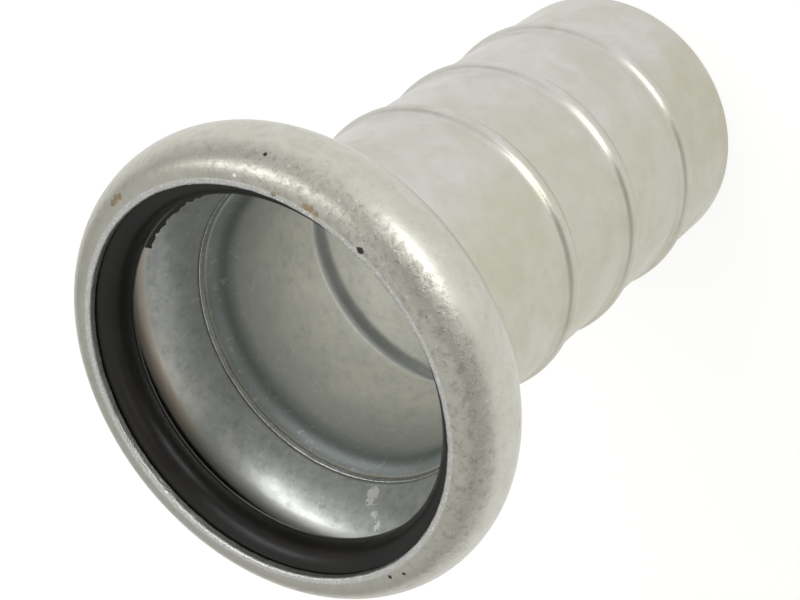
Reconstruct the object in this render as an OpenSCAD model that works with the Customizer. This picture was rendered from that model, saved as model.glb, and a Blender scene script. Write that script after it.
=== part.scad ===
// Female half of a lever-lock ball coupling, with a hose tail.
// Pressed-steel socket, round rubber seal in its rolled rim, and a beaded tail welded on behind.
// The part stands on the end of its tail: z = 0 is the tail's end face, and +Z runs up the
// axis to the mouth of the socket. Outlines are drawn as [radius, depth below the mouth].

/* [Overall] */
// Length from the mouth of the socket to the end of the tail
overall_len = 225; // [215:1:260]

/* [Rim] */
// Outside diameter of the rolled rim
rim_d = 157; // [156:0.5:158]
// Outside radius of the rim's roll
rim_roll_r = 19.1; // [18.8:0.1:19.4]
// Depth of the rim's crest below the mouth
rim_depth = 15.2; // [15:0.1:15.4]
// Clear diameter inside the lip
mouth_d = 130.4; // [129.6:0.1:131.2]
// Thickness of the socket's sheet
socket_wall = 3; // [2.5:0.1:3]
// How far the roll turns towards the front before it tightens, in degrees
front_turn = 40; // [36:1:42]
// How far the roll turns towards the back before it tightens, in degrees
back_turn = 34; // [30:1:38]
// Radius of the rim's back shoulder, at mid-sheet
shoulder_r = 3.5; // [3:0.1:4]
// Radius of the fold between the rim and the ball seat, at mid-sheet
fold_r = 5.5; // [5:0.1:6]

/* [Ball seat] */
// Radius of the bell that the ball sits in, along its length, at mid-sheet
bell_r = 42.5; // [42:0.1:43]
// Slope of the bell's narrow end at the weld, in degrees from the axis
neck_slope = 30; // [29:0.5:31]

/* [Seal ring] */
// Diameter of the ring's round section
seal_section_d = 15.2; // [14:0.1:15.6]
// Radius of the circle through the middle of the section
seal_mid_r = 66.4; // [66:0.1:66.4]
// Depth of the section's middle below the mouth
seal_depth = 10.9; // [10.9:0.1:11.4]

/* [Neck weld] */
// Depth of the joint below the mouth, on the inside
weld_depth = 43; // [42.5:0.1:43.5]
// Bore at the joint
weld_d = 108.8; // [108:0.1:109]
// Straight stretch of the neck between the bell and the joint
weld_land = 4; // [3.6:0.1:4.4]
// Width of the gap that the weld fills
weld_gap = 2; // [1:0.1:2.4]
// Width of the cap on the outside
cap_w = 7; // [5:0.5:7.5]
// Height of the cap's crown
cap_h = 1.2; // [0.8:0.1:1.6]
// How far the root stands proud on the inside
root_h = 0.4; // [0.2:0.1:0.6]

/* [Hose tail] */
// Outside diameter of the tail, which is the bore of the hose
tail_d = 102; // [101:0.5:103]
// Thickness of the tail's wall
tail_wall = 2; // [1.5:0.1:2.2]
// Radius where the flare runs into the tube, at mid-wall
flare_r = 12; // [8:1:16]
// Number of rolled beads
bead_count = 3; // [1:1:3]
// Distance from the tail's end to the first bead's crest
bead_first = 36.5; // [20:0.5:40]
// Distance from one bead to the next
bead_pitch = 43; // [20:0.5:44]
// Height of a bead above the tube
bead_h = 1.8; // [1:0.1:2.5]
// Radius of a bead's crest, outside
bead_r = 4; // [3:0.5:5]
// Chamfer on the cut end
end_chamfer = 0.4; // [0.1:0.1:0.6]

/* [Hidden] */
$fn = 96;

zinc_socket = [0.73, 0.73, 0.69];
zinc_tail = [0.78, 0.77, 0.72];
zinc_weld = [0.66, 0.66, 0.62];
rubber = [0.11, 0.1, 0.1];

arc_step = 8;
weld_steps = 8;
half_sheet = socket_wall / 2;
mouth_r = mouth_d / 2;
lip_round = 1;
lip_break = 0.3;
tail_r = tail_d / 2;
tail_in = tail_r - tail_wall;

// A unit step at an angle from straight out, turning towards the tail.
function polar(a) = [cos(a), sin(a)];

// The angle of the step from one point to another.
function bearing(from, to) = atan2(to.y - from.y, to.x - from.x);

// Points of an arc about c from angle a to angle b, both ends included.
function arc(c, r, a, b) =
    let (n = max(1, ceil(abs(b - a) / arc_step)))
    [for (i = [0:n]) c + r * polar(a + (b - a) * i / n)];

// The point where two circles cross, on the right of the way from the first centre to the second.
function circles_meet(c1, r1, c2, r2) =
    let (
        d = norm(c2 - c1),
        u = (c2 - c1) / d,
        along_u = (d * d + r1 * r1 - r2 * r2) / (2 * d),
        across = sqrt(r1 * r1 - along_u * along_u)
    ) c1 + along_u * u + across * [u.y, -u.x];

function reversed(list) = [for (i = [len(list) - 1:-1:0]) list[i]];

// The neck is a short cone at the weld, flush inside with both sheets.
// A point on it is s along the inside from the bell, and h out through the sheet.
cone_along = [-sin(neck_slope), cos(neck_slope)];
weld_s = weld_land;
cone_start = [weld_d / 2, weld_depth] - weld_s * cone_along;
function on_cone(s, h) = cone_start + s * cone_along + h * polar(neck_slope);

// Mid-sheet circles of the socket: main roll, front nose, back shoulder, bell and fold.
// Each one is tangent to the next, and the nose ends flat in the plane of the mouth.
roll_r = rim_roll_r - half_sheet;
roll_c = [rim_d / 2 - rim_roll_r, rim_depth];
nose_r = (rim_depth - roll_r * sin(front_turn) - half_sheet) / (1 - sin(front_turn));
nose_c = roll_c + (roll_r - nose_r) * polar(-front_turn);
shoulder_c = roll_c + (roll_r - shoulder_r) * polar(back_turn);
bell_c = on_cone(0, bell_r + half_sheet);
fold_c = circles_meet(bell_c, bell_r - fold_r, shoulder_c, shoulder_r + fold_r);
shoulder_turn = bearing(shoulder_c, fold_c);
bell_turn = bearing(fold_c, bell_c);

// The arc that brings the cone parallel to the axis has its centre outside the tube.
flare_out_r = flare_r - tail_wall / 2;
flare_in_r = flare_r + tail_wall / 2;
flare_s = (cone_start.x - tail_in) / sin(neck_slope);
flare_c = [tail_r + flare_out_r, on_cone(flare_s, 0).y + flare_in_r * tan(neck_slope / 2)];

// A bead is three equal arcs: foot, crest, foot.
bead_turn = acos(1 - bead_h / (2 * bead_r));
bead_half = 2 * bead_r * sin(bead_turn);
bead_depths = [for (i = [bead_count - 1:-1:0]) overall_len - bead_first - i * bead_pitch];

// One skin of the socket, from the nose to the weld: side is 1 outside and -1 inside.
function socket_skin(side) = concat(
    arc(nose_c, nose_r + side * half_sheet, -90, -front_turn),
    arc(roll_c, roll_r + side * half_sheet, -front_turn, 0),
    arc(roll_c, roll_r + side * half_sheet, 0, back_turn),
    arc(shoulder_c, shoulder_r + side * half_sheet, back_turn, shoulder_turn),
    arc(fold_c, fold_r - side * half_sheet, shoulder_turn - 180, bell_turn - 180),
    arc(bell_c, bell_r - side * half_sheet, bell_turn - 180, neck_slope - 180),
    [on_cone(weld_s - weld_gap / 2, half_sheet * (1 + side))]
);

// The sheet's rounded edge, which faces the axis.
function lip() = concat(
    arc([mouth_r + lip_break, socket_wall - lip_break], lip_break, 90, 180),
    arc([mouth_r + lip_round, lip_round], lip_round, 180, 270)
);

// One skin of the tail, from the weld to the end: inset is 0 outside and tail_wall inside.
function tail_skin(inset) = concat(
    [on_cone(weld_s + weld_gap / 2, tail_wall - inset)],
    arc(flare_c, flare_out_r + inset, 180 + neck_slope, 180),
    [for (depth = bead_depths) each bead(depth, inset)]
);
function bead(depth, inset) =
    let (
        crest = [tail_r + bead_h - bead_r, depth],
        foot_1 = [tail_r + bead_r, depth - bead_half],
        foot_2 = [tail_r + bead_r, depth + bead_half]
    ) concat(
        arc(foot_1, bead_r + inset, 180, 180 - bead_turn),
        arc(crest, bead_r - inset, -bead_turn, bead_turn),
        arc(foot_2, bead_r + inset, 180 + bead_turn, 180)
    );

// The tail's cut end, with both corners chamfered.
function tail_end() = [
    [tail_r, overall_len - end_chamfer],
    [tail_r - end_chamfer, overall_len],
    [tail_in + end_chamfer, overall_len],
    [tail_in, overall_len - end_chamfer]
];

// The weld's cap, bowed over the step between the sheets, and its root, bowed into the bore.
function weld_cap() = [
    for (i = [0:weld_steps])
        let (
            u = 2 * i / weld_steps - 1,
            base = (socket_wall * (1 - u) + tail_wall * (1 + u)) / 2
        ) on_cone(weld_s + u * cap_w / 2, base + cap_h * (1 - u * u))
];
function weld_root() = [
    for (i = [weld_steps:-1:0])
        let (u = 2 * i / weld_steps - 1)
        on_cone(weld_s + u * weld_gap / 2, -root_h * (1 - u * u))
];

// Turns an outline of [radius, depth] into a ring about the axis.
module turned(outline) {
    rotate_extrude()
        polygon([for (p = outline) [p.x, overall_len - p.y]]);
}

// Pressed cup: lip, rolled rim that holds the seal, bell that takes the ball and start of the neck.
module socket_shell() {
    color(zinc_socket)
        turned(concat(lip(), socket_skin(1), reversed(socket_skin(-1))));
}

// Round rubber ring, seated in the rim behind the lip.
module seal_ring() {
    color(rubber)
        rotate_extrude()
            translate([seal_mid_r, overall_len - seal_depth])
                circle(d = seal_section_d);
}

// Butt weld between the cup and the tail.
module neck_weld() {
    socket_side = on_cone(weld_s - weld_gap / 2, socket_wall);
    tail_side = on_cone(weld_s + weld_gap / 2, tail_wall);
    color(zinc_weld)
        turned(concat([socket_side], weld_cap(), [tail_side], weld_root()));
}

// Tube with a flared front end, rolled beads that grip the hose, and a plain cut end.
module hose_tail() {
    color(zinc_tail)
        turned(concat(tail_skin(0), tail_end(), reversed(tail_skin(tail_wall))));
}

socket_shell();
seal_ring();
neck_weld();
hose_tail();
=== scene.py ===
"""Female ball coupling with a hose tail, in hot-dip galvanised steel.

The coupling stands on the end of its tail. Outlines of the turned pieces are drawn as
(radius, depth below the mouth), in millimetres, and turned about the axis by one Geometry
Nodes tree, which also gives the sheet its slight ripple.
"""
import math
import random

import bmesh
import bpy
from mathutils import Matrix, Vector


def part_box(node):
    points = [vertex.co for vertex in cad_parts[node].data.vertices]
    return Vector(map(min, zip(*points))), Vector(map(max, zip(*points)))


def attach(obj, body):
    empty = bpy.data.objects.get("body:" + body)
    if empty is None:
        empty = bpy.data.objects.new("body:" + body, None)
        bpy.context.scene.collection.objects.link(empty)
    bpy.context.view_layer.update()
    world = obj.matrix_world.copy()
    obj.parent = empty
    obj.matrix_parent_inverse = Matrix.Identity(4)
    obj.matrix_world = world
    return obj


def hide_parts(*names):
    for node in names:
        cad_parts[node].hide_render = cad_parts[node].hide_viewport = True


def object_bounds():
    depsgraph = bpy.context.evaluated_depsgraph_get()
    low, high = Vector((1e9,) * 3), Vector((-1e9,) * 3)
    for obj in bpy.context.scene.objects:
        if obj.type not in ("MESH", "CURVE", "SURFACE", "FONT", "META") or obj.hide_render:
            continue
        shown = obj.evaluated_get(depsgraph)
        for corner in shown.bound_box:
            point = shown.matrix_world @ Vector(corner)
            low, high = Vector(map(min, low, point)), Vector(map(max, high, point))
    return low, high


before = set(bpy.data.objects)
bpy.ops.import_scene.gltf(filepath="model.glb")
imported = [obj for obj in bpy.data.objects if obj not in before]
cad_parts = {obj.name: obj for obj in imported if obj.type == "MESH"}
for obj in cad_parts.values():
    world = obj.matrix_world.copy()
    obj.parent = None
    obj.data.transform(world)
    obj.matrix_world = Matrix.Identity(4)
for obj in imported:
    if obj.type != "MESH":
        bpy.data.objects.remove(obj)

CAD_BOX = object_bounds()

MM = 0.001
MOUTH = CAD_BOX[1][2] / MM
RIM_R = CAD_BOX[1][0] / MM
TAIL_END = MOUTH - CAD_BOX[0][2] / MM

# Socket sheet: rolled rim, back shoulder, fold and bell. Radii are at mid-sheet.
SHEET = 3.0
ROLL_R = 17.6
RIM_DEPTH = 15.2
LIP_R = 65.2
LIP_ROUND = 1.0
LIP_BREAK = 0.3
FRONT_TURN = 40.0
BACK_TURN = 34.0
SHOULDER_R = 3.5
FOLD_R = 5.5
BELL_R = 42.5
NECK_SLOPE = 30.0

# Weld between socket and tail, on the neck's short cone
WELD_R = 54.4
WELD_DEPTH = 43.0
WELD_LAND = 4.0
WELD_GAP = 2.0
CAP_WIDTH = 7.0
CAP_RISE = 1.15
ROOT_RISE = 0.25

# Tail: flare, tube and three rolled beads
TAIL_R = 51.0
WALL = 2.0
FLARE_R = 12.0
BEAD_DEPTHS = [TAIL_END - rise for rise in (122.5, 79.5, 36.5)]
BEAD_RISE = 1.8
BEAD_R = 4.0
END_ROUND = 0.5

# Seal ring, from its CAD solid's box
RING_LOW, RING_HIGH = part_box("seal_ring")
RING_SECTION = (RING_HIGH[2] - RING_LOW[2]) / MM / 2
RING_R = RING_HIGH[0] / MM - RING_SECTION
RING_DEPTH = MOUTH - (RING_HIGH[2] + RING_LOW[2]) / MM / 2

# Steps round the axis, and the longest steps along an outline: in general, and on the tail
AROUND = 360
FINE = 1.3
TUBE_STEP = 2.6
FOOT_STEP = 0.6
CREST_STEP = 0.45


# ---------------------------------------------------------------- outlines

def step(angle):
    """A unit step at an angle from straight out, turning towards the tail."""
    turn = math.radians(angle)
    return Vector((math.cos(turn), math.sin(turn)))


def bearing(start, end):
    """The angle of the step from one point to another."""
    return math.degrees(math.atan2(end.y - start.y, end.x - start.x))


def arc(centre, radius, start, end, longest=FINE):
    """Points of an arc, both ends included, no further apart than longest."""
    length = math.radians(abs(end - start)) * radius
    count = max(2, math.ceil(length / longest))
    return [centre + radius * step(start + (end - start) * i / count) for i in range(count + 1)]


def run(start, end, longest=FINE):
    """Points along a straight line, both ends included."""
    count = max(1, math.ceil((end - start).length / longest))
    return [start.lerp(end, i / count) for i in range(count + 1)]


def circles_meet(centre_1, radius_1, centre_2, radius_2):
    """Where two circles cross, on the right of the way from the first centre to the second."""
    gap = (centre_2 - centre_1).length
    way = (centre_2 - centre_1) / gap
    forward = (gap * gap + radius_1 * radius_1 - radius_2 * radius_2) / (2 * gap)
    across = math.sqrt(radius_1 * radius_1 - forward * forward)
    return centre_1 + forward * way + across * Vector((way.y, -way.x))


def joined(*stretches):
    """One list of points from several, without repeats where they meet."""
    points = []
    for stretch in stretches:
        for point in stretch:
            if not points or (point - points[-1]).length > 0.01:
                points.append(point)
    return points


HALF = SHEET / 2
ROLL_C = Vector((RIM_R - ROLL_R - HALF, RIM_DEPTH))
NOSE_SINE = math.sin(math.radians(FRONT_TURN))
NOSE_R = (RIM_DEPTH - ROLL_R * NOSE_SINE - HALF) / (1 - NOSE_SINE)
NOSE_C = ROLL_C + (ROLL_R - NOSE_R) * step(-FRONT_TURN)
SHOULDER_C = ROLL_C + (ROLL_R - SHOULDER_R) * step(BACK_TURN)
CONE_ALONG = Vector((-math.sin(math.radians(NECK_SLOPE)), math.cos(math.radians(NECK_SLOPE))))
CONE_START = Vector((WELD_R, WELD_DEPTH)) - WELD_LAND * CONE_ALONG


def on_cone(along, out):
    """A point of the neck's cone, along from the bell and out through the sheet."""
    return CONE_START + along * CONE_ALONG + out * step(NECK_SLOPE)


BELL_C = on_cone(0, BELL_R + HALF)
FOLD_C = circles_meet(BELL_C, BELL_R - FOLD_R, SHOULDER_C, SHOULDER_R + FOLD_R)
SHOULDER_TURN = bearing(SHOULDER_C, FOLD_C)
BELL_TURN = bearing(FOLD_C, BELL_C)


def socket_skin(side):
    """One skin of the socket from nose to weld: side is 1 outside and -1 inside."""
    skin = side * HALF
    return joined(
        arc(NOSE_C, NOSE_R + skin, -90, -FRONT_TURN),
        arc(ROLL_C, ROLL_R + skin, -FRONT_TURN, 0),
        arc(ROLL_C, ROLL_R + skin, 0, BACK_TURN),
        arc(SHOULDER_C, SHOULDER_R + skin, BACK_TURN, SHOULDER_TURN, 0.8),
        arc(FOLD_C, FOLD_R - skin, SHOULDER_TURN - 180, BELL_TURN - 180, 0.5),
        arc(BELL_C, BELL_R - skin, BELL_TURN - 180, NECK_SLOPE - 180),
        run(on_cone(0, HALF + skin), on_cone(WELD_LAND - WELD_GAP / 2, HALF + skin)),
    )


def socket_outline():
    """The pressed socket, from the lip round the outside to the weld and back inside."""
    lip_back = Vector((LIP_R + LIP_BREAK, SHEET - LIP_BREAK))
    lip_front = Vector((LIP_R + LIP_ROUND, LIP_ROUND))
    return joined(
        arc(lip_back, LIP_BREAK, 90, 180, 0.15),
        run(Vector((LIP_R, SHEET - LIP_BREAK)), Vector((LIP_R, LIP_ROUND)), 0.5),
        arc(lip_front, LIP_ROUND, 180, 270, 0.3),
        run(Vector((LIP_R + LIP_ROUND, 0)), Vector((NOSE_C.x, 0)), 0.5),
        socket_skin(1),
        socket_skin(-1)[::-1],
    )


def weld_outline():
    """The weld's cap, bowed over the step between the sheets, and its root."""
    bow = [i / 8 - 1 for i in range(17)]
    cap, root = [], []
    for u in bow:
        sheet_face = (SHEET * (1 - u) + WALL * (1 + u)) / 2
        cap.append(on_cone(WELD_LAND + u * CAP_WIDTH / 2, sheet_face + CAP_RISE * (1 - u * u)))
    for u in bow[::-1]:
        root.append(on_cone(WELD_LAND + u * WELD_GAP / 2, -ROOT_RISE * (1 - u ** 6)))
    socket_side = on_cone(WELD_LAND - WELD_GAP / 2, SHEET)
    tail_side = on_cone(WELD_LAND + WELD_GAP / 2, WALL)
    return joined([socket_side], cap, [tail_side], root)


FLARE_S = (CONE_START.x - TAIL_R + WALL) / math.sin(math.radians(NECK_SLOPE))
FLARE_IN_R = FLARE_R + WALL / 2
FLARE_C = Vector((
    TAIL_R + FLARE_R - WALL / 2,
    on_cone(FLARE_S, 0).y + FLARE_IN_R * math.tan(math.radians(NECK_SLOPE / 2)),
))
BEAD_TURN = math.degrees(math.acos(1 - BEAD_RISE / (2 * BEAD_R)))
BEAD_HALF = 2 * BEAD_R * math.sin(math.radians(BEAD_TURN))


def tail_skin(inset):
    """One skin of the tail from weld to end: inset is 0 outside and the wall inside."""
    points = joined(
        [on_cone(WELD_LAND + WELD_GAP / 2, WALL - inset)],
        arc(FLARE_C, FLARE_R - WALL / 2 + inset, 180 + NECK_SLOPE, 180),
    )
    for depth in BEAD_DEPTHS:
        front_foot = Vector((TAIL_R + BEAD_R, depth - BEAD_HALF))
        crest = Vector((TAIL_R + BEAD_RISE - BEAD_R, depth))
        back_foot = Vector((TAIL_R + BEAD_R, depth + BEAD_HALF))
        points = joined(
            points,
            run(points[-1], Vector((points[-1].x, front_foot.y)), TUBE_STEP),
            arc(front_foot, BEAD_R + inset, 180, 180 - BEAD_TURN, FOOT_STEP),
            arc(crest, BEAD_R - inset, -BEAD_TURN, BEAD_TURN, CREST_STEP),
            arc(back_foot, BEAD_R + inset, 180 + BEAD_TURN, 180, FOOT_STEP),
        )
    return joined(points, run(points[-1], Vector((points[-1].x, TAIL_END - END_ROUND)), TUBE_STEP))


def tail_outline():
    """The tail, from the weld down the outside, round its cut end and back inside."""
    outer = Vector((TAIL_R - END_ROUND, TAIL_END - END_ROUND))
    inner = Vector((TAIL_R - WALL + END_ROUND, TAIL_END - END_ROUND))
    return joined(
        tail_skin(0),
        arc(outer, END_ROUND, 0, 90, 0.2),
        run(outer + Vector((0, END_ROUND)), inner + Vector((0, END_ROUND)), 0.4),
        arc(inner, END_ROUND, 90, 180, 0.2),
        tail_skin(WALL)[::-1],
    )


def ring_outline():
    """The seal's round section."""
    return joined(arc(Vector((RING_R, RING_DEPTH)), RING_SECTION, 0, 360, 0.75)[:-1])


# ---------------------------------------------------------------- node trees

def feed(tree, socket, value):
    """Links a socket, or sets it where the value isn't a socket."""
    if isinstance(value, bpy.types.NodeSocket):
        tree.links.new(value, socket)
    elif value is not None:
        socket.default_value = value


def put(tree, kind, *values, settings=None, **named):
    """Adds a node: values go to its first sockets in order, named ones by socket name."""
    made = tree.nodes.new(kind)
    for key, value in (settings or {}).items():
        setattr(made, key, value)
    for place, value in enumerate(values):
        feed(tree, made.inputs[place], value)
    for name, value in named.items():
        feed(tree, made.inputs[name.replace("_", " ")], value)
    return made


def math_of(tree, operation, *values):
    """The output of one Math node."""
    return put(tree, "ShaderNodeMath", *values, settings={"operation": operation}).outputs[0]


def vector_of(tree, operation, *values):
    """The vector output of one Vector Math node."""
    return put(tree, "ShaderNodeVectorMath", *values, settings={"operation": operation}).outputs[0]


def number_of(tree, operation, *values):
    """The number output of one Vector Math node, such as a length, a distance or a dot product."""
    made = put(tree, "ShaderNodeVectorMath", *values, settings={"operation": operation})
    return made.outputs["Value"]


def scaled_by(tree, vector, scale):
    """A vector times a number."""
    made = put(tree, "ShaderNodeVectorMath", vector, settings={"operation": "SCALE"}, Scale=scale)
    return made.outputs[0]


# Where a Mix node keeps its two colours, and the colour it gives
MIX_UNDER = 6
MIX_OVER = 7
MIX_RESULT = 2


def blend_of(tree, factor, under, over):
    """The colour output of one Mix node."""
    made = put(tree, "ShaderNodeMix", factor, settings={"data_type": "RGBA"})
    feed(tree, made.inputs[MIX_UNDER], under)
    feed(tree, made.inputs[MIX_OVER], over)
    return made.outputs[MIX_RESULT]


def ramp_of(tree, value, low, high, to_low=0.0, to_high=1.0):
    """A value mapped smoothly from low..high to to_low..to_high."""
    made = put(tree, "ShaderNodeMapRange", value, low, high, to_low, to_high)
    made.interpolation_type = "SMOOTHSTEP"
    return made.outputs[0]


def noise_of(tree, vector, scale, detail, rough, seed, warp=0.0):
    """The factor of one 4D Noise Texture, from 0 to 1."""
    made = put(tree, "ShaderNodeTexNoise", settings={"noise_dimensions": "4D"})
    for name, value in (("Vector", vector), ("W", seed), ("Scale", scale), ("Detail", detail),
                        ("Roughness", rough), ("Distortion", warp)):
        feed(tree, made.inputs[name], value)
    return made.outputs[0]


SHAPE = "NodeSocketGeometry"
VECTOR = "NodeSocketVector"
FLOAT = "NodeSocketFloat"
COLOUR = "NodeSocketColor"


def new_group(name, kind, takes, gives):
    """A node group with named sockets, and its input and output nodes."""
    tree = bpy.data.node_groups.new(name, kind)
    for socket_name, socket_kind, default in takes:
        made = tree.interface.new_socket(socket_name, in_out="INPUT", socket_type=socket_kind)
        if default is not None:
            made.default_value = default
    for socket_name, socket_kind in gives:
        tree.interface.new_socket(socket_name, in_out="OUTPUT", socket_type=socket_kind)
    return tree, tree.nodes.new("NodeGroupInput").outputs, tree.nodes.new("NodeGroupOutput").inputs


# How far the lip's nicks reach from its edge and from the mouth, in metres, how fine they are,
# and how far the weld's ridges wander from even spacing
EDGE_REACH = (0.0008, 0.0022)
MOUTH_REACH = (0.003, 0.0045)
EDGE_NICKS = 260.0
RIDGE_WANDER = 5.0


def turned_sheet_tree():
    """Turns an outline of (radius, depth) about the axis, then sinks a soft ripple into its skin."""
    tree, given, result = new_group(
        "turned_sheet", "GeometryNodeTree",
        (("Outline", SHAPE, None), ("Hub", FLOAT, 0.01), ("Mouth Height", FLOAT, 0.2),
         ("Steps Around", "NodeSocketInt", 360),
         ("Ripple Depth", FLOAT, 0.0001), ("Ripple Size", FLOAT, 0.02),
         ("Grain Depth", FLOAT, 0.00003), ("Grain Size", FLOAT, 0.003),
         ("Edge Bite", FLOAT, 0.0), ("Edge Radius", FLOAT, 0.0),
         ("Ridge Depth", FLOAT, 0.0), ("Ridge Count", FLOAT, 100.0),
         ("Seed", FLOAT, 0.0), ("Material", "NodeSocketMaterial", None)),
        (("Piece", SHAPE),),
    )
    section = put(tree, "GeometryNodeMeshToCurve", given["Outline"]).outputs[0]
    path = put(tree, "GeometryNodeCurvePrimitiveCircle", Resolution=given["Steps Around"],
               Radius=given["Hub"])
    lift = put(tree, "ShaderNodeCombineXYZ", 0.0, 0.0, given["Mouth Height"]).outputs[0]
    raised = put(tree, "GeometryNodeTransform", path.outputs[0], Translation=lift).outputs[0]
    skin = put(tree, "GeometryNodeCurveToMesh", raised, section).outputs[0]
    place = put(tree, "GeometryNodeInputPosition").outputs[0]
    normal = put(tree, "GeometryNodeInputNormal").outputs[0]

    ripple_scale = math_of(tree, "DIVIDE", 1.0, given["Ripple Size"])
    ripple = noise_of(tree, place, ripple_scale, 1.0, 0.4, given["Seed"])
    grain_scale = math_of(tree, "DIVIDE", 1.0, given["Grain Size"])
    grain = noise_of(tree, place, grain_scale, 2.0, 0.5, given["Seed"])
    ripple_sink = math_of(tree, "MULTIPLY", ripple, given["Ripple Depth"])
    grain_sink = math_of(tree, "MULTIPLY", grain, given["Grain Depth"])
    sink = math_of(tree, "ADD", ripple_sink, grain_sink)

    radius = number_of(tree, "LENGTH", vector_of(tree, "MULTIPLY", place, (1.0, 1.0, 0.0)))
    parts = put(tree, "ShaderNodeSeparateXYZ", place).outputs
    from_edge = math_of(tree, "ABSOLUTE", math_of(tree, "SUBTRACT", radius, given["Edge Radius"]))
    from_mouth = math_of(tree, "SUBTRACT", given["Mouth Height"], parts[2])
    near_edge = ramp_of(tree, from_edge, *EDGE_REACH, 1.0, 0.0)
    near_mouth = ramp_of(tree, from_mouth, *MOUTH_REACH, 1.0, 0.0)
    near_lip = math_of(tree, "MULTIPLY", near_edge, near_mouth)
    bite = math_of(tree, "MULTIPLY", near_lip, given["Edge Bite"])
    torn = ramp_of(tree, noise_of(tree, place, EDGE_NICKS, 3.0, 0.65, given["Seed"]), 0.35, 0.75)
    sink = math_of(tree, "ADD", sink, math_of(tree, "MULTIPLY", bite, torn))

    turn = math_of(tree, "MULTIPLY", math_of(tree, "ARCTAN2", parts[1], parts[0]), given["Ridge Count"])
    wander = math_of(tree, "MULTIPLY", ripple, RIDGE_WANDER)
    wave = math_of(tree, "SINE", math_of(tree, "ADD", turn, wander))
    swell = math_of(tree, "MULTIPLY_ADD", wave, 0.5, 0.5)
    sink = math_of(tree, "ADD", sink, math_of(tree, "MULTIPLY", swell, given["Ridge Depth"]))

    inwards = scaled_by(tree, normal, math_of(tree, "MULTIPLY", sink, -1.0))
    moved = put(tree, "GeometryNodeSetPosition", skin, Offset=inwards).outputs[0]
    smooth = put(tree, "GeometryNodeSetShadeSmooth", moved, Shade_Smooth=True).outputs[0]
    real = put(tree, "GeometryNodeRealizeInstances", smooth).outputs[0]
    done = put(tree, "GeometryNodeSetMaterial", real, Material=given["Material"]).outputs[0]
    tree.links.new(done, result["Piece"])
    return tree


TURNED_SHEET = turned_sheet_tree()


def geometry_piece(name, mesh, tree, **settings):
    """Runs a Geometry Nodes tree on a mesh and returns the plain result as a new object."""
    source = bpy.data.objects.new(name + "_outline", mesh)
    bpy.context.collection.objects.link(source)
    modifier = source.modifiers.new(name, "NODES")
    modifier.node_group = tree
    by_name = {item.name: item.identifier for item in tree.interface.items_tree if item.in_out == "INPUT"}
    for key, value in settings.items():
        modifier[by_name[key.replace("_", " ")]] = value
    graph = bpy.context.evaluated_depsgraph_get()
    graph.update()
    plain = bpy.data.meshes.new_from_object(source.evaluated_get(graph), depsgraph=graph)
    plain.name = name
    source.modifiers.remove(modifier)
    bpy.data.objects.remove(source)
    piece = bpy.data.objects.new(name, plain)
    bpy.context.collection.objects.link(piece)
    return piece


# Radius of the circle that an outline is swept along, in millimetres
HUB = 10.0


def turned(name, outline, material, around=AROUND, **settings):
    """A closed outline turned about the axis into a piece."""
    mesh = bpy.data.meshes.new(name + "_outline")
    count = len(outline)
    mesh.from_pydata([((p.x - HUB) * MM, p.y * MM, 0) for p in outline],
                     [(i, (i + 1) % count) for i in range(count)], [])
    piece = geometry_piece(name, mesh, TURNED_SHEET, Hub=HUB * MM, Mouth_Height=MOUTH * MM,
                           Steps_Around=around, Material=material, **settings)
    outward(piece)
    return piece


def outward(piece):
    """Turns every face of a closed piece outwards."""
    work = bmesh.new()
    work.from_mesh(piece.data)
    bmesh.ops.recalc_face_normals(work, faces=work.faces)
    work.to_mesh(piece.data)
    work.free()


def at(azimuth, radius, depth):
    """A place on the coupling, in metres, from its bearing in degrees, radius and depth."""
    turn = math.radians(azimuth)
    return Vector((radius * math.cos(turn), radius * math.sin(turn), MOUTH - depth)) * MM


# ---------------------------------------------------------------- shared effects

def cloud_group():
    """Soft patches of two tints with finer mottling over them."""
    tree, given, result = new_group(
        "cloudy_tint", "ShaderNodeTree",
        (("Place", VECTOR, None), ("Light", COLOUR, (0.6, 0.6, 0.57, 1)),
         ("Warm", COLOUR, (0.5, 0.48, 0.42, 1)), ("Dark", COLOUR, (0.35, 0.35, 0.34, 1)),
         ("Patch Size", FLOAT, 0.02), ("Mottle Size", FLOAT, 0.003), ("Mottle", FLOAT, 0.5),
         ("Seed", FLOAT, 0.0)),
        (("Colour", COLOUR), ("Patches", FLOAT), ("Mottling", FLOAT)),
    )
    patch_scale = math_of(tree, "DIVIDE", 1.0, given["Patch Size"])
    mottle_scale = math_of(tree, "DIVIDE", 1.0, given["Mottle Size"])
    broad = noise_of(tree, given["Place"], patch_scale, 4.0, 0.6, given["Seed"], 0.4)
    patches = ramp_of(tree, broad, 0.34, 0.68)
    close = noise_of(tree, given["Place"], mottle_scale, 5.0, 0.7, given["Seed"], 0.2)
    mottling = ramp_of(tree, close, 0.42, 0.8)
    tint = blend_of(tree, patches, given["Light"], given["Warm"])
    shade = math_of(tree, "MULTIPLY", mottling, given["Mottle"])
    tree.links.new(blend_of(tree, shade, tint, given["Dark"]), result["Colour"])
    tree.links.new(patches, result["Patches"])
    tree.links.new(mottling, result["Mottling"])
    return tree


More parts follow.
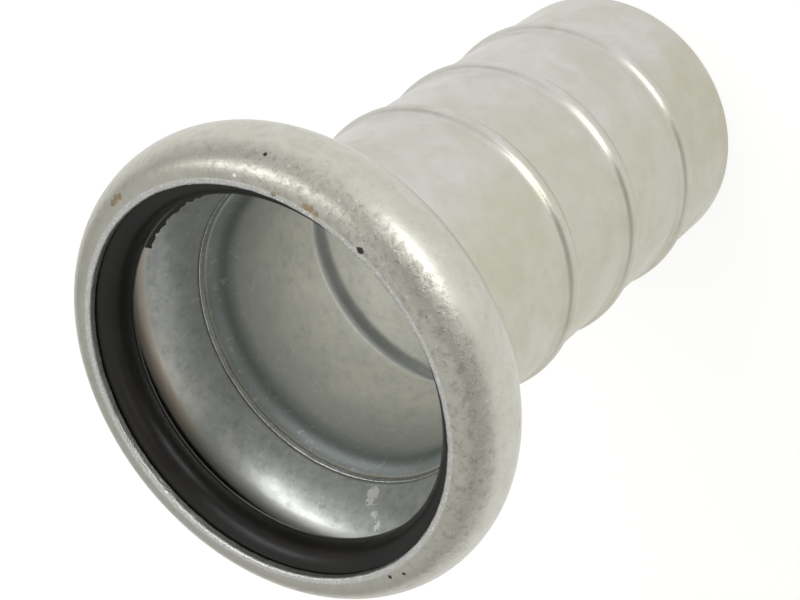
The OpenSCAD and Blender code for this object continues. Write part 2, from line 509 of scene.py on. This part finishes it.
def grain_group():
    """The fine crystal of a zinc coat: a height, dark specks and bright ones."""
    tree, given, result = new_group(
        "zinc_grain", "ShaderNodeTree",
        (("Place", VECTOR, None), ("Grain Size", FLOAT, 0.0008), ("Speck Size", FLOAT, 0.002),
         ("Specks", FLOAT, 0.3), ("Seed", FLOAT, 0.0)),
        (("Height", FLOAT), ("Dark Specks", FLOAT), ("Bright Specks", FLOAT)),
    )
    grain_scale = math_of(tree, "DIVIDE", 1.0, given["Grain Size"])
    speck_scale = math_of(tree, "DIVIDE", 1.0, given["Speck Size"])
    height = noise_of(tree, given["Place"], grain_scale, 3.0, 0.6, given["Seed"])
    field = noise_of(tree, given["Place"], speck_scale, 2.0, 0.5, given["Seed"])
    limit = math_of(tree, "MULTIPLY_ADD", given["Specks"], -0.22, 0.78)
    over = math_of(tree, "ADD", limit, 0.05)
    under = math_of(tree, "SUBTRACT", 1.0, limit)
    far_under = math_of(tree, "SUBTRACT", under, 0.05)
    tree.links.new(height, result["Height"])
    tree.links.new(ramp_of(tree, field, limit, over), result["Dark Specks"])
    tree.links.new(ramp_of(tree, field, under, far_under), result["Bright Specks"])
    return tree


def spot_group():
    """A ragged mark round one place: 1 at its middle, 0 outside."""
    tree, given, result = new_group(
        "ragged_spot", "ShaderNodeTree",
        (("Place", VECTOR, None), ("Centre", VECTOR, None), ("Reach", FLOAT, 0.002), ("Ragged", FLOAT, 0.5),
         ("Ragged Size", FLOAT, 0.002)),
        (("Mask", FLOAT),),
    )
    gap = number_of(tree, "DISTANCE", given["Place"], given["Centre"])
    near = math_of(tree, "DIVIDE", gap, given["Reach"])
    ragged_scale = math_of(tree, "DIVIDE", 1.0, given["Ragged Size"])
    rough = noise_of(tree, given["Place"], ragged_scale, 3.0, 0.6, 3.0)
    swing = math_of(tree, "MULTIPLY", given["Ragged"], 4.0)
    push = math_of(tree, "MULTIPLY", math_of(tree, "SUBTRACT", rough, 0.5), swing)
    mask = ramp_of(tree, math_of(tree, "ADD", near, push), 0.75, 1.05, 1.0, 0.0)
    tree.links.new(mask, result["Mask"])
    return tree


def streak_group():
    """Fine marks that follow the turned skin: long round the axis, along it, or neither."""
    tree, given, result = new_group(
        "skin_streaks", "ShaderNodeTree",
        (("Place", VECTOR, None), ("Round", FLOAT, 4.0), ("Along", FLOAT, 1500.0), ("Amount", FLOAT, 0.3),
         ("Softness", FLOAT, 0.06), ("Seed", FLOAT, 0.0)),
        (("Mask", FLOAT),),
    )
    parts = put(tree, "ShaderNodeSeparateXYZ", given["Place"]).outputs
    flat = put(tree, "ShaderNodeCombineXYZ", parts[0], parts[1], 0.0).outputs[0]
    outwards = vector_of(tree, "NORMALIZE", flat)
    wide = scaled_by(tree, outwards, given["Round"])
    along = math_of(tree, "MULTIPLY", parts[2], given["Along"])
    deep = put(tree, "ShaderNodeCombineXYZ", 0.0, 0.0, along).outputs[0]
    lines = noise_of(tree, vector_of(tree, "ADD", wide, deep), 1.0, 3.0, 0.55, given["Seed"])
    limit = math_of(tree, "MULTIPLY_ADD", given["Amount"], -0.25, 0.75)
    over = math_of(tree, "ADD", limit, given["Softness"])
    tree.links.new(ramp_of(tree, lines, limit, over), result["Mask"])
    return tree


CLOUD = cloud_group()
GRAIN = grain_group()
SPOT = spot_group()
STREAK = streak_group()


class Surface:
    """A material being made: its nodes, the place on the piece, and depth and radius there."""

    def __init__(self, name):
        self.material = bpy.data.materials.new(name)
        self.material.use_nodes = True
        self.tree = self.material.node_tree
        self.shader = self.tree.nodes["Principled BSDF"]
        self.place = put(self.tree, "ShaderNodeTexCoord").outputs["Object"]
        parts = put(self.tree, "ShaderNodeSeparateXYZ", self.place).outputs
        flat = put(self.tree, "ShaderNodeCombineXYZ", parts[0], parts[1], 0.0).outputs[0]
        self.radius = number_of(self.tree, "LENGTH", flat)
        self.depth = math_of(self.tree, "SUBTRACT", MOUTH * MM, parts[2])
        self.outwards = vector_of(self.tree, "NORMALIZE", flat)

    def group(self, group, **named):
        """One of the shared effects, on this piece's place."""
        made = put(self.tree, "ShaderNodeGroup", settings={"node_tree": group}, Place=self.place, **named)
        return made.outputs

    def faces_axis(self):
        """1 on skin that faces the axis, 0 on skin that faces away from it."""
        normal = put(self.tree, "ShaderNodeNewGeometry").outputs["Normal"]
        return self.ramp(number_of(self.tree, "DOT_PRODUCT", normal, self.outwards), -0.2, -0.4)

    def towards(self, way):
        """How far a place lies round towards a direction: 1 there, 0 at its sides and -1 opposite."""
        return number_of(self.tree, "DOT_PRODUCT", self.outwards, way)

    def ramp(self, value, low, high, to_low=0.0, to_high=1.0):
        """A value mapped smoothly from low..high to to_low..to_high."""
        return ramp_of(self.tree, value, low, high, to_low, to_high)

    def math(self, operation, *values):
        """The output of one Math node."""
        return math_of(self.tree, operation, *values)

    def noise(self, scale, detail, rough, seed, warp=0.0):
        """Noise on this piece's place, from 0 to 1."""
        return noise_of(self.tree, self.place, scale, detail, rough, seed, warp)

    def below(self, depths):
        """0 above a pair of depths in millimetres and 1 below them, fading between the two."""
        return self.ramp(self.depth, depths[0] * MM, depths[1] * MM)

    def above(self, depths):
        """1 above a pair of depths in millimetres and 0 below them, fading between the two."""
        return self.ramp(self.depth, depths[1] * MM, depths[0] * MM)

    def between(self, value, low, high, soft):
        """1 where a value in millimetres lies between low and high, fading over soft."""
        rise = self.ramp(value, (low - soft / 2) * MM, (low + soft / 2) * MM)
        fall = self.ramp(value, (high - soft / 2) * MM, (high + soft / 2) * MM, 1.0, 0.0)
        return self.times(rise, fall)

    def times(self, *values):
        """The product of masks."""
        product = values[0]
        for value in values[1:]:
            product = self.math("MULTIPLY", product, value)
        return product

    def plus(self, *values):
        """The sum of values."""
        total = values[0]
        for value in values[1:]:
            total = self.math("ADD", total, value)
        return total

    def tint(self, colour, mask, over):
        """A colour with another laid over it where a mask says."""
        return blend_of(self.tree, mask, colour, over)

    def spots(self, colour, marks, over, ragged):
        """A colour with ragged marks over it, each (azimuth, radius, depth, reach in mm)."""
        for azimuth, radius, depth, reach in marks:
            mask = self.group(SPOT, Centre=at(azimuth, radius, depth), Reach=reach * MM, Ragged=ragged,
                              Ragged_Size=reach * MM * 0.7)["Mask"]
            colour = self.tint(colour, mask, over)
        return colour

    def bump(self, height, distance, strength, under=None):
        """A bump from a height field whose full swing is distance metres."""
        made = put(self.tree, "ShaderNodeBump", Strength=strength, Distance=distance, Height=height)
        if under is not None:
            self.tree.links.new(under, made.inputs["Normal"])
        return made.outputs[0]

    def finish(self, **named):
        """Feeds the shader and returns the material."""
        for name, value in named.items():
            feed(self.tree, self.shader.inputs[name.replace("_", " ")], value)
        return self.material


def rgb(red, green, blue):
    """A colour for a socket."""
    return (red, green, blue, 1.0)


# ---------------------------------------------------------------- materials

# Depths below the mouth, in millimetres, over which one look gives way to the next: rim to bowl,
# the fold's painted light to the bowl, the neck's band of painted shade to the bore, and the bore
# to its first groove
RIM_TO_BOWL = (23.5, 25.0)
FOLD_TO_BOWL = (27.4, 28.8)
NECK_TO_BORE = (58.0, 62.0)
BORE_TO_GROOVES = (62.0, 66.0)

def socket_zinc():
    """Galvanised socket: mottled beige rim, cooler greyer inside, and a raw sparkling lip."""
    coat = Surface("galvanised_socket")
    rim = coat.group(
        CLOUD, Light=rgb(0.56, 0.555, 0.50), Warm=rgb(0.53, 0.515, 0.45), Dark=rgb(0.36, 0.345, 0.295),
        Patch_Size=0.014, Mottle_Size=0.004, Mottle=0.36, Seed=2.0)
    inside = coat.group(
        CLOUD, Light=rgb(0.49, 0.52, 0.50), Warm=rgb(0.60, 0.61, 0.575), Dark=rgb(0.27, 0.31, 0.305),
        Patch_Size=0.009, Mottle_Size=0.0032, Mottle=0.85, Seed=7.0)
    grain = coat.group(GRAIN, Grain_Size=0.0011, Speck_Size=0.0011, Specks=0.45, Seed=5.0)

    # The bowl: rougher towards the weld, and darkened there with painted shade
    is_inside = coat.times(coat.faces_axis(), coat.below(RIM_TO_BOWL))
    dull_and_painted_shade = coat.times(is_inside, coat.between(coat.depth, 36, 60, 10))
    under = coat.tint(inside["Colour"], coat.times(dull_and_painted_shade, 0.35), rgb(0.34, 0.365, 0.35))
    colour = coat.tint(rim["Colour"], is_inside, under)

    # The rim's front: painted shade darkening its flank, with tarnish and specks, all strongest on one side
    front = coat.times(coat.between(coat.depth, -1, 7.5, 6.0), coat.between(coat.radius, 66.5, 78.0, 5.0))
    shade_and_wear_side = coat.towards((0.97, -0.26, 0.0))
    front = coat.times(front, coat.ramp(shade_and_wear_side, 0.1, 0.85, 0.4, 1.0))
    tarnish = coat.ramp(coat.noise(420.0, 5.0, 0.75, 15.0, 0.4), 0.46, 0.66)
    sparkle = coat.ramp(coat.noise(620.0, 3.0, 0.7, 33.0), 0.60, 0.68)
    # Painted shade: the rim's front flank drawn darker
    colour = coat.tint(colour, coat.times(front, 0.3), rgb(0.38, 0.37, 0.32))
    for mask, at_back, at_front, over in (
        (tarnish, 0.12, 0.6, rgb(0.26, 0.25, 0.21)),
        (sparkle, 0.1, 0.5, rgb(0.76, 0.76, 0.72)),
        (grain["Dark Specks"], 0.25, 0.6, rgb(0.22, 0.19, 0.15)),
    ):
        strength = coat.ramp(front, 0, 1, at_back, at_front)
        colour = coat.tint(colour, coat.times(mask, strength), over)
    colour = coat.tint(colour, coat.times(grain["Bright Specks"], 0.3), rgb(0.74, 0.74, 0.71))

    # The lip's cut edge, bright with zinc crystals
    edge = coat.times(coat.between(coat.radius, 60.0, 67.4, 0.8), coat.between(coat.depth, -1, 3.4, 0.3))
    crystals = coat.noise(1500.0, 3.0, 0.7, 4.0)
    edge_colour = coat.tint(rgb(0.60, 0.60, 0.575), coat.ramp(crystals, 0.5, 0.68), rgb(0.93, 0.93, 0.90))
    colour = coat.tint(colour, edge, edge_colour)

    # Wisps and scuffs in the bowl; painted light on the fold, paler all round and cream in a strip on one
    # side
    wisps = coat.ramp(coat.noise(190.0, 7.0, 0.8, 3.0, 2.2), 0.53, 0.66)
    scuffs = coat.group(STREAK, Round=34.0, Along=420.0, Amount=0.45, Softness=0.09, Seed=23.0)["Mask"]
    marks = coat.math("MAXIMUM", wisps, scuffs)
    colour = coat.tint(colour, coat.times(marks, is_inside, 0.55), rgb(0.70, 0.72, 0.70))
    fold = coat.times(is_inside, coat.above(FOLD_TO_BOWL))
    painted_light_strip = coat.times(fold, coat.ramp(coat.towards((-0.85, 0.53, 0.0)), 0.78, 0.93))
    # Painted light: the fold drawn paler, and a cream strip on one side
    colour = coat.tint(colour, coat.times(fold, 0.7), rgb(0.72, 0.73, 0.69))
    colour = coat.tint(colour, painted_light_strip, rgb(0.90, 0.81, 0.68))

    colour = coat.spots(colour, DROPLETS, rgb(0.95, 0.95, 0.93), 0.2)
    colour = coat.spots(colour, RUST_MARKS, rgb(0.37, 0.29, 0.18), 0.75)
    colour = coat.spots(colour, PITS, rgb(0.06, 0.05, 0.045), 0.35)
    colour = coat.spots(colour, STAINS, rgb(0.84, 0.85, 0.82), 0.9)

    rough = coat.ramp(rim["Mottling"], 0, 1, 0.33, 0.42)
    rough = coat.plus(rough, coat.times(front, 0.1), coat.times(is_inside, -0.03), coat.times(dull_and_painted_shade, 0.25))
    fine = coat.bump(coat.plus(coat.times(grain["Height"], 0.6), rim["Mottling"]), 0.00004, 0.8)
    rugged = coat.bump(coat.times(tarnish, front), 0.00008, 0.6, fine)
    normal = coat.bump(coat.times(crystals, edge), 0.0003, 0.8, rugged)
    metal = coat.plus(coat.ramp(is_inside, 0, 1, 1.0, 0.6), coat.times(fold, -0.45))
    return coat.finish(Base_Color=colour, Metallic=metal, Roughness=rough, Normal=normal)


def tail_zinc():
    """Galvanised tail: smooth satin and warm with faint clouds, with painted light in a paler lavender tone
    on one side.
    """
    coat = Surface("galvanised_tail")
    warm = coat.group(
        CLOUD, Light=rgb(0.535, 0.525, 0.45), Warm=rgb(0.50, 0.485, 0.39), Dark=rgb(0.43, 0.41, 0.335),
        Patch_Size=0.02, Mottle_Size=0.005, Mottle=0.4, Seed=11.0)
    painted_light_tone = coat.group(
        CLOUD, Light=rgb(0.60, 0.59, 0.57), Warm=rgb(0.54, 0.525, 0.465), Dark=rgb(0.48, 0.475, 0.46),
        Patch_Size=0.016, Mottle_Size=0.005, Mottle=0.4, Seed=17.0)
    grain = coat.group(GRAIN, Grain_Size=0.0016, Speck_Size=0.0013, Specks=0.3, Seed=8.0)

    # Outside: a warm tint with painted light drifting over one side in a paler tone, smears and specks
    drift = coat.noise(28.0, 3.0, 0.6, 19.0)
    painted_light_way = (0.35 / TAIL_R / MM, 0.94 / TAIL_R / MM, 0.0)
    side = number_of(coat.tree, "DOT_PRODUCT", coat.place, painted_light_way)
    painted_light_side = coat.ramp(coat.math("MULTIPLY_ADD", drift, 2.2, side), 1.2, 2.0)
    colour = coat.tint(warm["Colour"], painted_light_side, painted_light_tone["Colour"])
    smears = coat.group(STREAK, Round=5.0, Along=130.0, Amount=0.9, Softness=0.3, Seed=27.0)["Mask"]
    colour = coat.tint(colour, coat.times(smears, 0.16), rgb(0.40, 0.39, 0.36))
    colour = coat.tint(colour, coat.times(grain["Dark Specks"], 0.45), rgb(0.33, 0.31, 0.27))

    # Bore: painted paler for the light from its open end, with painted shade darker towards the weld and in
    # the neck, and painted blue-grey shade in the grooves behind the beads
    inner = coat.faces_axis()
    # Painted light: the bore's pale tones
    shade = coat.group(
        CLOUD, Light=rgb(0.76, 0.765, 0.73), Warm=rgb(0.84, 0.825, 0.76), Dark=rgb(0.50, 0.52, 0.50),
        Patch_Size=0.016, Mottle_Size=0.0045, Mottle=0.6, Seed=14.0)
    bore_r = TAIL_R - WALL
    # Painted shade: the neck and the bore towards the weld drawn darker
    neck = coat.ramp(coat.radius, (bore_r - 0.05) * MM, (bore_r + 1.6) * MM)
    neck = coat.times(neck, coat.above(NECK_TO_BORE))
    dull_and_painted_shade = coat.ramp(coat.depth, 50 * MM, 88 * MM, 1.0, 0.0)
    # Painted shade: the grooves behind the beads tinted blue-grey
    groove = coat.ramp(coat.radius, (bore_r + 0.05) * MM, (bore_r + 0.6) * MM)
    groove = coat.times(groove, coat.below(BORE_TO_GROOVES))
    wisps = coat.ramp(coat.noise(170.0, 7.0, 0.8, 6.0, 2.2), 0.54, 0.68)
    shaded = shade["Colour"]
    for mask, strength, over in (
        (dull_and_painted_shade, 0.75, rgb(0.44, 0.47, 0.46)),
        (neck, 0.85, rgb(0.27, 0.30, 0.29)),
        (groove, 0.6, rgb(0.44, 0.47, 0.50)),
        (wisps, 0.5, rgb(0.90, 0.90, 0.86)),
    ):
        shaded = coat.tint(shaded, coat.times(mask, strength), over)
    colour = coat.tint(colour, inner, shaded)

    rough = coat.plus(coat.ramp(warm["Patches"], 0, 1, 0.35, 0.41), coat.times(inner, 0.26))
    normal = coat.bump(grain["Height"], 0.00003, 0.6)
    return coat.finish(Base_Color=colour, Metallic=1.0, Roughness=rough, Normal=normal)


def weld_zinc():
    """Galvanised weld bead: duller and lumpier than the sheet, and lighter on the inside."""
    coat = Surface("galvanised_weld")
    cloud = coat.group(
        CLOUD, Light=rgb(0.70, 0.71, 0.69), Warm=rgb(0.64, 0.64, 0.61), Dark=rgb(0.46, 0.47, 0.455),
        Patch_Size=0.008, Mottle_Size=0.002, Mottle=0.5, Seed=21.0)
    grain = coat.group(GRAIN, Grain_Size=0.0008, Speck_Size=0.0014, Specks=0.5, Seed=9.0)
    colour = coat.tint(rgb(0.44, 0.435, 0.395), coat.faces_axis(), cloud["Colour"])
    colour = coat.tint(colour, coat.times(cloud["Mottling"], 0.5), rgb(0.36, 0.35, 0.32))
    colour = coat.tint(colour, coat.times(grain["Bright Specks"], 0.6), rgb(0.80, 0.80, 0.78))
    rough = coat.ramp(cloud["Mottling"], 0, 1, 0.34, 0.5)
    normal = coat.bump(coat.plus(grain["Height"], cloud["Mottling"]), 0.0001, 0.7)
    return coat.finish(Base_Color=colour, Metallic=1.0, Roughness=rough, Normal=normal)


def rubber():
    """Moulded black rubber with a dusty bloom, a soft sheen, and a painted highlight of lighter grey on its
    flash.
    """
    coat = Surface("seal_rubber")
    cloud = coat.group(
        CLOUD, Light=rgb(0.007, 0.0062, 0.0056), Warm=rgb(0.012, 0.0105, 0.0095),
        Dark=rgb(0.02, 0.018, 0.016), Patch_Size=0.02, Mottle_Size=0.003, Mottle=0.35, Seed=31.0)
    grain = coat.group(GRAIN, Grain_Size=0.0006, Speck_Size=0.002, Specks=0.2, Seed=12.0)
    colour = coat.tint(cloud["Colour"], coat.times(grain["Dark Specks"], 0.35), rgb(0.10, 0.095, 0.09))
    out = coat.math("SUBTRACT", coat.radius, RING_R * MM)
    down = coat.math("SUBTRACT", coat.depth, RING_DEPTH * MM)
    from_mid = put(coat.tree, "ShaderNodeCombineXYZ", out, down, 0.0).outputs[0]
    reach = number_of(coat.tree, "LENGTH", from_mid)
    # Painted highlight: the flash drawn lighter grey where its edge catches the light
    flash = coat.between(reach, RING_SECTION + 0.15, RING_SECTION + 0.8, 0.1)
    colour = coat.tint(colour, coat.times(flash, 0.8), rgb(0.13, 0.125, 0.115))
    rough = coat.ramp(cloud["Mottling"], 0, 1, 0.34, 0.46)
    normal = coat.bump(grain["Height"], 0.00004, 0.5)
    return coat.finish(Base_Color=colour, Roughness=rough, Normal=normal, Specular_IOR_Level=0.3)


# Marks on the socket: azimuth in degrees, then radius, depth and reach in millimetres
RUST_MARKS = [
    (91.6, 70.6, 0.6, 1.2), (90.0, 70.9, 0.6, 1.4), (88.3, 70.5, 0.6, 1.1),
    (37.3, 67.3, 0.0, 0.9), (28.0, 68.3, 0.1, 1.1), (26.6, 68.8, 0.1, 1.2), (25.0, 68.1, 0.1, 1.0),
]
PITS = [
    (11.3, 68.2, 0.1, 1.2), (42.7, 75.6, 5.1, 0.7), (-88.9, 70.0, 0.3, 0.7), (-93.5, 68.7, 0.1, 0.8),
]
DROPLETS = [
    (48.7, 69.3, 0.2, 0.6),
]
STAINS = [
    (-121.0, 56.7, 39.0, 2.4), (-120.0, 58.4, 36.4, 2.0), (-117.5, 61.0, 32.8, 1.5),
    (-115.5, 63.6, 29.6, 1.6),
]


# ---------------------------------------------------------------- pieces

def socket_piece():
    """The pressed socket, with small nicks along its lip."""
    return turned(
        "pressed_socket", socket_outline(), socket_zinc(),
        Ripple_Depth=0.0001, Ripple_Size=0.03, Grain_Depth=0.00002, Grain_Size=0.005,
        Edge_Bite=0.00022, Edge_Radius=LIP_R * MM, Seed=4.0)


def weld_piece():
    """The weld bead, with the ridges that the torch leaves across it."""
    return turned(
        "neck_weld_bead", weld_outline(), weld_zinc(), around=1200,
        Ripple_Depth=0.00015, Ripple_Size=0.006, Grain_Depth=0.0001, Grain_Size=0.0024,
        Ridge_Depth=0.00008, Ridge_Count=150.0, Seed=6.0)


def tail_piece():
    """The beaded tail, very slightly out of round."""
    return turned(
        "beaded_tail", tail_outline(), tail_zinc(),
        Ripple_Depth=0.00025, Ripple_Size=0.045, Grain_Depth=0.00003, Grain_Size=0.006, Seed=9.0)


# The seal's moulding flash: where it stands on the section, where it is torn wide, in degrees,
# its widest, in millimetres, and its steps round the seal
FLASH_TURN = 152.0
FLASH_TORN = (36.0, 108.0)
FLASH_WIDEST = 1.9
FLASH_STEPS = 720


def flash_width(azimuth, chance):
    """How far the moulding flash stands out of the seal, in millimetres, torn wide along one stretch."""
    width = 0.45 + 0.04 * chance.random()
    start, tip = FLASH_TORN
    if start < azimuth < tip:
        along = (azimuth - start) / (tip - start)
        ragged = 0.4 * math.sin(azimuth * 1.13) * math.sin(azimuth * 0.47 + 1)
        ragged += 0.4 * (chance.random() - 0.5)
        width += max(0.0, FLASH_WIDEST * (0.5 + 0.5 * along) * min(1, 5 * along) + ragged)
    return width


def add_flash(piece):
    """Adds the thin moulding flash that runs round the seal's inner back."""
    work = bmesh.new()
    work.from_mesh(piece.data)
    chance = random.Random(7)
    way, side = step(FLASH_TURN), step(FLASH_TURN + 90)
    root = Vector((RING_R, RING_DEPTH)) + (RING_SECTION - 0.4) * way
    stations = []
    for i in range(FLASH_STEPS):
        azimuth = 360 * i / FLASH_STEPS
        end = root + (0.4 + flash_width(azimuth, chance)) * way
        corners = (root + 0.3 * side, end + 0.08 * side, end - 0.08 * side, root - 0.3 * side)
        stations.append([work.verts.new(at(azimuth, p.x, p.y)) for p in corners])
    for i in range(FLASH_STEPS):
        here, there = stations[i], stations[(i + 1) % FLASH_STEPS]
        for j in range(4):
            work.faces.new((here[j], here[(j + 1) % 4], there[(j + 1) % 4], there[j]))
    bmesh.ops.recalc_face_normals(work, faces=work.faces)
    work.to_mesh(piece.data)
    work.free()


def ring_piece():
    """The seal, with its moulding flash."""
    piece = turned(
        "round_seal", ring_outline(), rubber(),
        Ripple_Depth=0.0001, Ripple_Size=0.02, Grain_Depth=0.00004, Grain_Size=0.004, Seed=12.0)
    add_flash(piece)
    return piece


for piece, node, slot in (
    (socket_piece(), "socket_shell", "galvanised_socket"),
    (weld_piece(), "neck_weld", "galvanised_weld"),
    (tail_piece(), "hose_tail", "galvanised_tail"),
    (ring_piece(), "seal_ring", "seal_rubber"),
):
    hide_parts(node)
    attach(piece, "root")


# ---------------------------------------------------------------- floor, light and camera

FLOOR_REACH = 6.0


def floor():
    """A plain white floor under the tail's end, seen only from above."""
    mesh = bpy.data.meshes.new("floor")
    level = CAD_BOX[0][2] - 0.0005
    corners = [(FLOOR_REACH * x, FLOOR_REACH * y, level) for x, y in ((-1, -1), (1, -1), (1, 1), (-1, 1))]
    mesh.from_pydata(corners, [], [(0, 1, 2, 3)])
    made = bpy.data.objects.new("floor", mesh)
    bpy.context.collection.objects.link(made)
    coat = Surface("floor_white")
    tone = coat.noise(1.5, 2.0, 0.5, 1.0)
    from_above = coat.math("SUBTRACT", 1.0, put(coat.tree, "ShaderNodeNewGeometry").outputs["Backfacing"])
    mesh.materials.append(coat.finish(
        Base_Color=coat.tint(rgb(0.27, 0.27, 0.265), tone, rgb(0.29, 0.29, 0.285)), Roughness=0.9,
        Emission_Color=rgb(1.0, 1.0, 0.99), Emission_Strength=0.8, Alpha=from_above))


# Where the softboxes aim, near the socket's neck
LIT_MIDDLE = Vector((0, 0, 0.16))


def softbox(name, azimuth, elevation, distance, size, power, colour=(1.0, 1.0, 1.0)):
    """A rectangular light that faces the middle of the coupling and isn't seen itself."""
    light = bpy.data.lights.new(name, "AREA")
    light.shape = "RECTANGLE"
    light.size, light.size_y = size
    light.energy = power
    light.color = colour
    made = bpy.data.objects.new(name, light)
    bpy.context.collection.objects.link(made)
    turn, lift = math.radians(azimuth), math.radians(elevation)
    way = Vector((math.cos(turn) * math.cos(lift), math.sin(turn) * math.cos(lift), math.sin(lift)))
    made.location = LIT_MIDDLE + distance * way
    made.rotation_euler = (-way).to_track_quat("-Z", "Y").to_euler()
    made.visible_camera = False


def tail_glow():
    """Light that comes in at the open end of the tail."""
    light = bpy.data.lights.new("tail_glow", "AREA")
    light.shape = "DISK"
    light.size = 0.09
    light.energy = 0.010
    light.color = (1.0, 0.98, 0.93)
    made = bpy.data.objects.new("tail_glow", light)
    bpy.context.collection.objects.link(made)
    made.location = (0, 0, CAD_BOX[0][2] + 0.003)
    made.rotation_euler = (math.pi, 0, 0)
    made.visible_camera = False


# How bright the tent is low down and overhead, how much of that is left where it is dimmest, and
# how high that dimmest part stands, in degrees
HORIZON_LIGHT = 0.55
OVERHEAD_LIGHT = 0.85
DIM_SIDE_SHARE = 0.45
DIM_SIDE_HEIGHT = 45.0


def sky():
    """A white tent, brightest overhead and dimmest on the side that the mouth is seen from."""
    world = bpy.data.worlds.new("surround")
    world.use_nodes = True
    tree = world.node_tree
    way = put(tree, "ShaderNodeTexCoord").outputs["Generated"]
    height = put(tree, "ShaderNodeSeparateXYZ", way).outputs[2]
    overhead = ramp_of(tree, height, 0.35, 0.95, HORIZON_LIGHT, OVERHEAD_LIGHT)
    lift = math.radians(DIM_SIDE_HEIGHT)
    to_dim_side = number_of(tree, "DOT_PRODUCT", way, Vector((math.cos(lift), 0, math.sin(lift))))
    shade = ramp_of(tree, to_dim_side, 0.55, 0.95, 1.0, DIM_SIDE_SHARE)
    background = tree.nodes["Background"]
    background.inputs["Color"].default_value = rgb(1.0, 1.0, 0.99)
    tree.links.new(math_of(tree, "MULTIPLY", overhead, shade), background.inputs["Strength"])
    bpy.context.scene.world = world


def camera():
    """Looks down at the mouth and the tail's side, turned so that the tail lies up and to the right."""
    eye = Vector((426.7, 0.0, 612.9)) * MM
    aim = Vector((4.2, -4.7, 156.5)) * MM
    roll = -127.7
    data = bpy.data.cameras.new("camera")
    data.lens = 86.87
    data.sensor_width = 36.0
    data.clip_start = 0.01
    data.clip_end = 50.0
    made = bpy.data.objects.new("camera", data)
    bpy.context.collection.objects.link(made)
    level = (aim - eye).to_track_quat("-Z", "Y")
    turn = Matrix.Rotation(math.radians(roll), 4, "Z")
    made.matrix_world = Matrix.Translation(eye) @ level.to_matrix().to_4x4() @ turn
    bpy.context.scene.camera = made


floor()
sky()
softbox("long_softbox", 3.0, 8.0, 1.3, (0.75, 0.12), 4.4)
softbox("side_softbox", 45.0, 8.0, 1.3, (0.9, 0.2), 0.6)
softbox("bowl_softbox", 77.0, 49.0, 1.3, (1.1, 0.12), 4.3)
softbox("right_softbox", -42.0, 56.0, 1.3, (0.6, 0.12), 0.6, (1.0, 0.95, 0.86))
tail_glow()
camera()
bpy.context.scene.view_settings.view_transform = "Standard"
bpy.context.scene.view_settings.look = "None"
